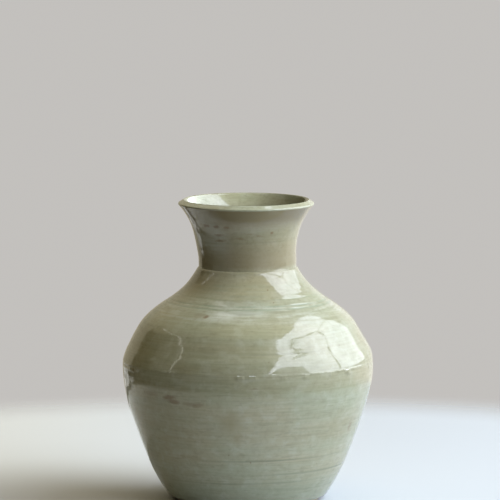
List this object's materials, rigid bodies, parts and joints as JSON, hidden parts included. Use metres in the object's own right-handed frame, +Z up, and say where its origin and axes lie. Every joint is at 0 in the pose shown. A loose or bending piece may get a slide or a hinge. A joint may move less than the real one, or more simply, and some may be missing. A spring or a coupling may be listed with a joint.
{
  "type": "baluster vase",
  "caption": "Wheel-thrown, glazed stoneware vase with a full belly, sloping shoulder, drawn-in neck and flared mouth, for cut or dried stems.",
  "frame": {"origin": "middle of the foot, on the surface that the vase stands on", "axes": "+Z up the vase's axis of turning; +X and +Y are level, and -Y faces the picture's camera"},
  "size_m": [0.1516, 0.1516, 0.1815],
  "materials": {
    "stoneware": "unglazed, fired to a warm buff, with fine turning rings",
    "luting_slip": "unglazed, fired smooth",
    "celadon_glaze": "glossy grey-green celadon over throwing lines, breaking to warm brown",
    "liner_glaze": "glossy grey-green celadon"
  },
  "bodies": {
    "root": {"lower_body": "stoneware", "belly_slip": "luting_slip", "shoulder": "stoneware", "neck_slip": "luting_slip", "neck": "stoneware", "outer_glaze": "celadon_glaze", "inner_glaze": "liner_glaze"}
  },
  "joints": []
}
